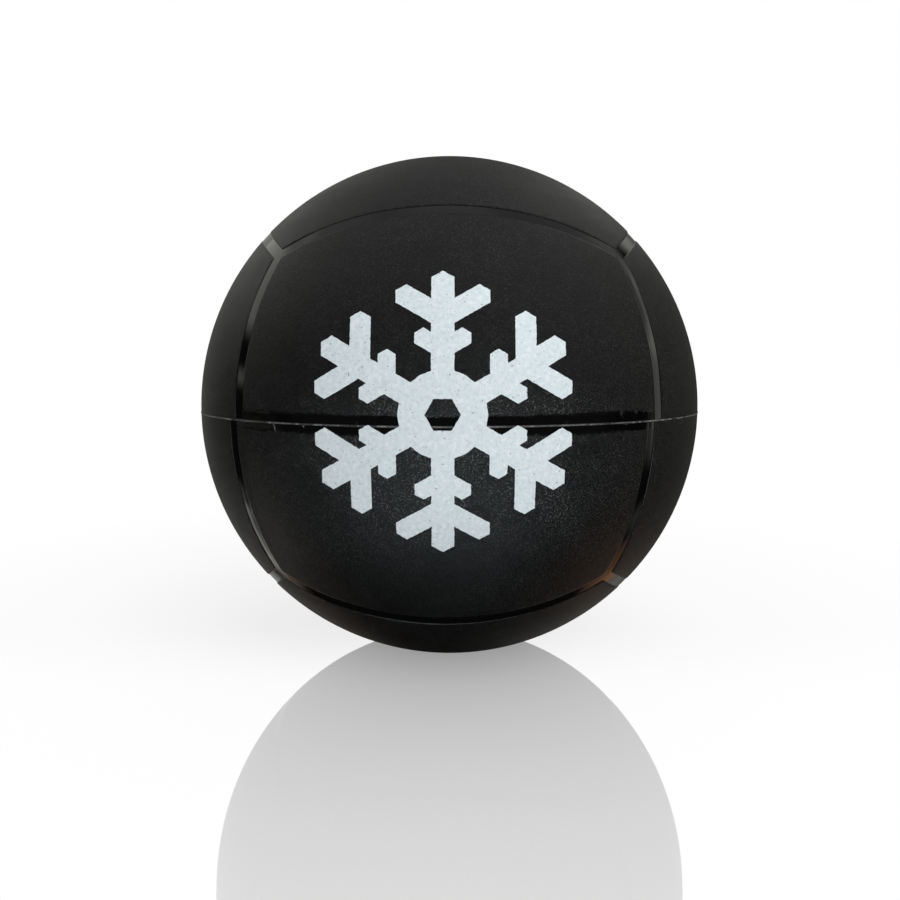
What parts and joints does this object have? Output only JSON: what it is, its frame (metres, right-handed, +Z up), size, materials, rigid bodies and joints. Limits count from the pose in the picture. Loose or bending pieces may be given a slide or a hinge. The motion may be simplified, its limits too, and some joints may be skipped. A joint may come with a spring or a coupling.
{
  "type": "broomball ball",
  "caption": "Hollow moulded rubber ball of bonded half shells, panelled by recessed glossy seam bands, with an inflation valve at the back.",
  "frame": {"origin": "centre of the ball", "axes": "+Z up, at right angles to the bonded joint; the panel that carries the print faces -Y, +X is to the right of that panel, and the valve is in the upper half on the +Y side"},
  "size_m": [0.1522, 0.1522, 0.152],
  "materials": {
    "shell_rubber": "matte with a fine grain, glossy in the bands",
    "bond_rubber": "satin",
    "valve_rubber": "satin",
    "plug_rubber": "satin"
  },
  "bodies": {
    "root": {"upper_half_shell": "shell_rubber", "lower_half_shell": "shell_rubber", "seam_bond": "bond_rubber", "valve_housing": "valve_rubber", "valve_plug": "plug_rubber"}
  },
  "joints": []
}
